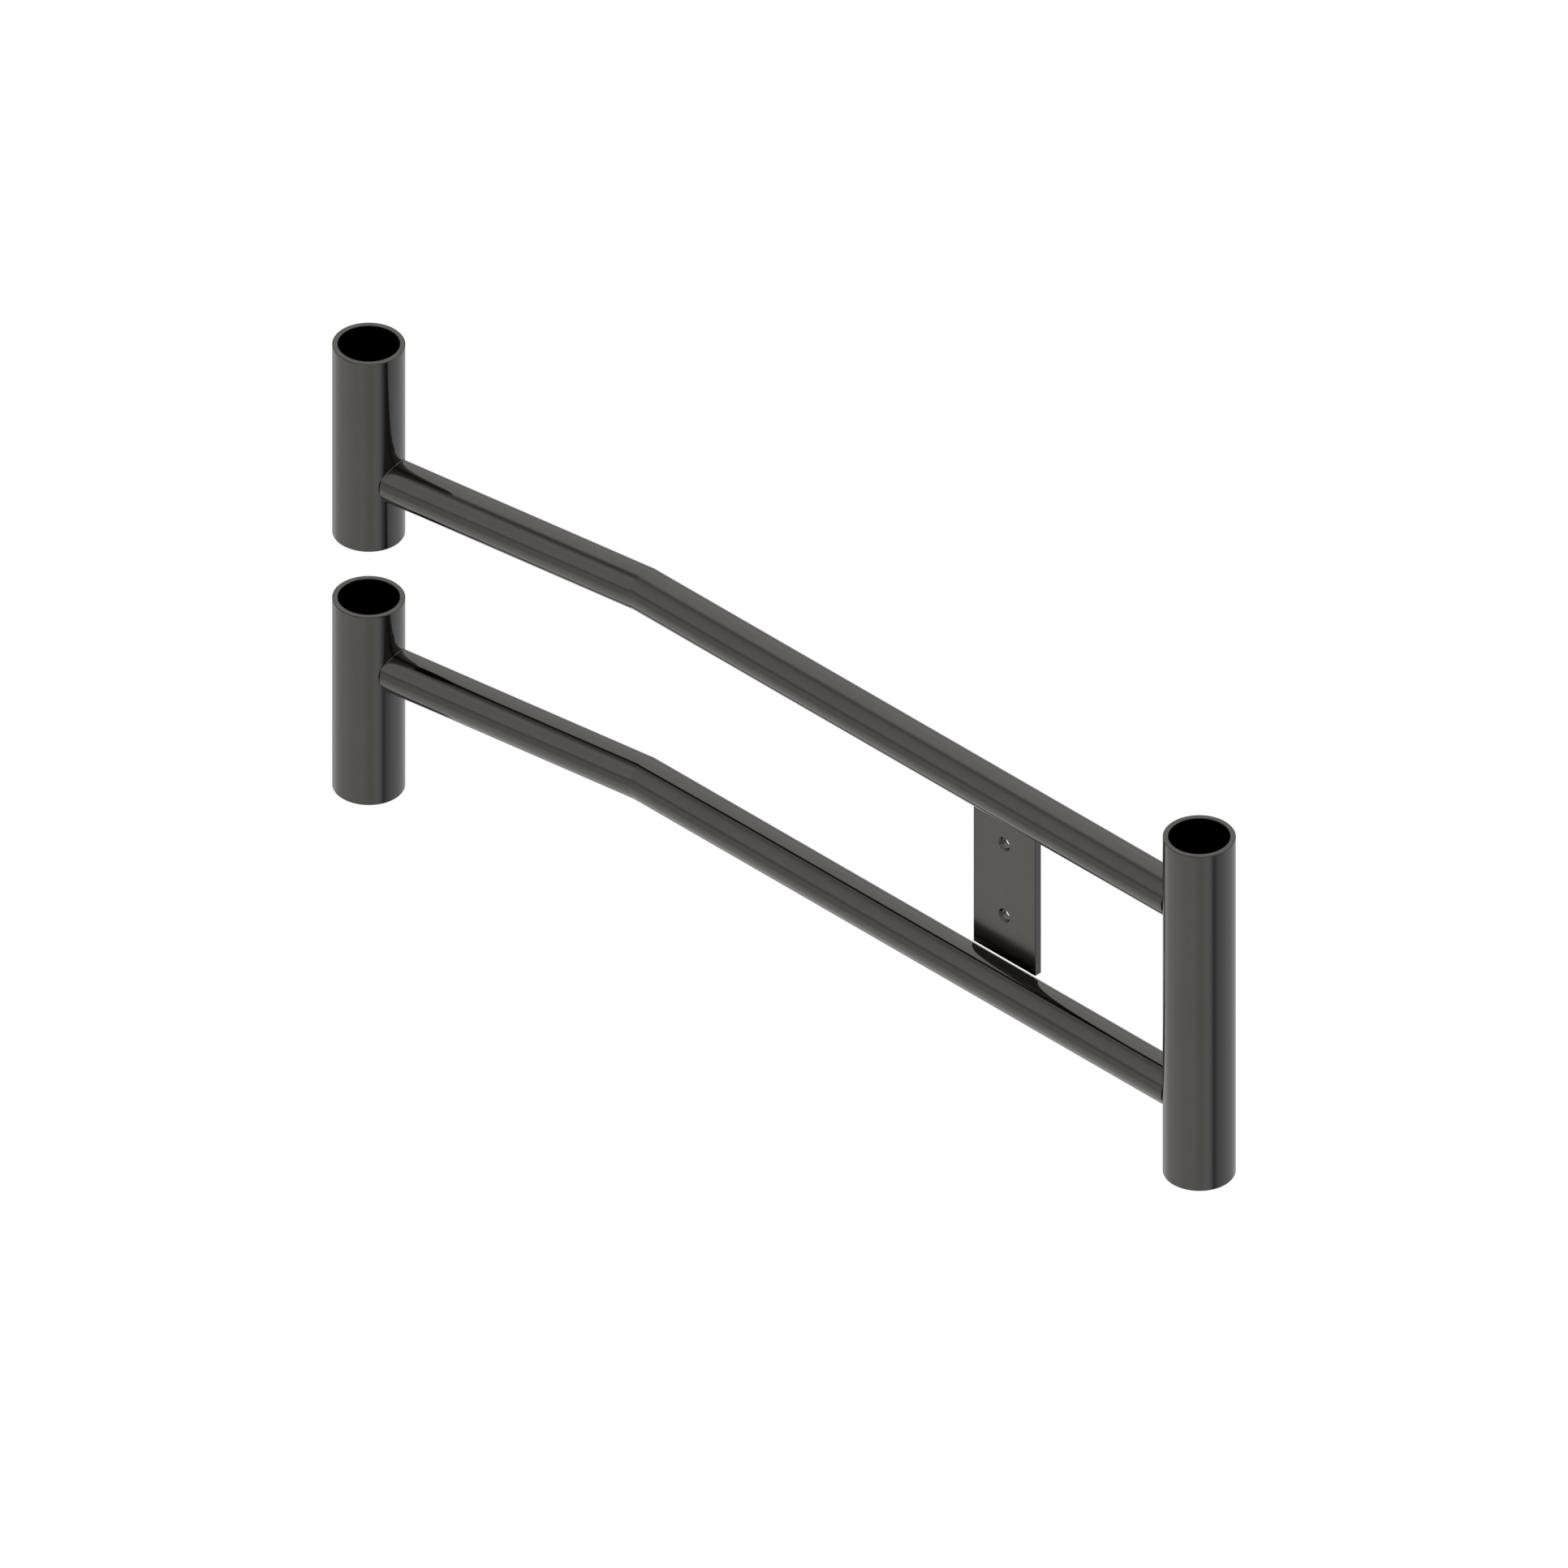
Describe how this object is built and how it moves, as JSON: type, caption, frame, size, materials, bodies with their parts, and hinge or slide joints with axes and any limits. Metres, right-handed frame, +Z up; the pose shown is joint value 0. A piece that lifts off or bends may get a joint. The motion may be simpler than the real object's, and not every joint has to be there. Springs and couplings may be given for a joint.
{
  "type": "welded two-rail link frame",
  "caption": "Rigid steel frame: two stacked short sleeves and one long sleeve joined by two parallel mitred round rails, with a two-hole screw plate.",
  "frame": {"origin": "on the long sleeve's bore axis, level with the middle of the gap between the rails", "axes": "+Z up along the long sleeve's bore; the straight part of the rails runs along -X; the rails turn towards -Y, the side that the chamfers of the plate's holes face"},
  "size_m": [0.831, 0.084, 0.3738],
  "materials": {
    "sleeve_metal": "polished dark gunmetal",
    "rail_metal": "polished dark gunmetal",
    "plate_metal": "polished dark gunmetal",
    "weld_metal": "ground weld under the same dark finish"
  },
  "bodies": {
    "root": {"upper_short_sleeve": "sleeve_metal", "lower_short_sleeve": "sleeve_metal", "long_sleeve": "sleeve_metal", "upper_straight_rail": "rail_metal", "upper_angled_rail": "rail_metal", "upper_mitre_weld": "rail_metal", "lower_straight_rail": "rail_metal", "lower_angled_rail": "rail_metal", "lower_mitre_weld": "rail_metal", "screw_plate": "plate_metal", "upper_short_weld": "weld_metal", "lower_short_weld": "weld_metal", "upper_long_weld": "weld_metal", "lower_long_weld": "weld_metal", "plate_weld": "weld_metal"}
  },
  "joints": []
}
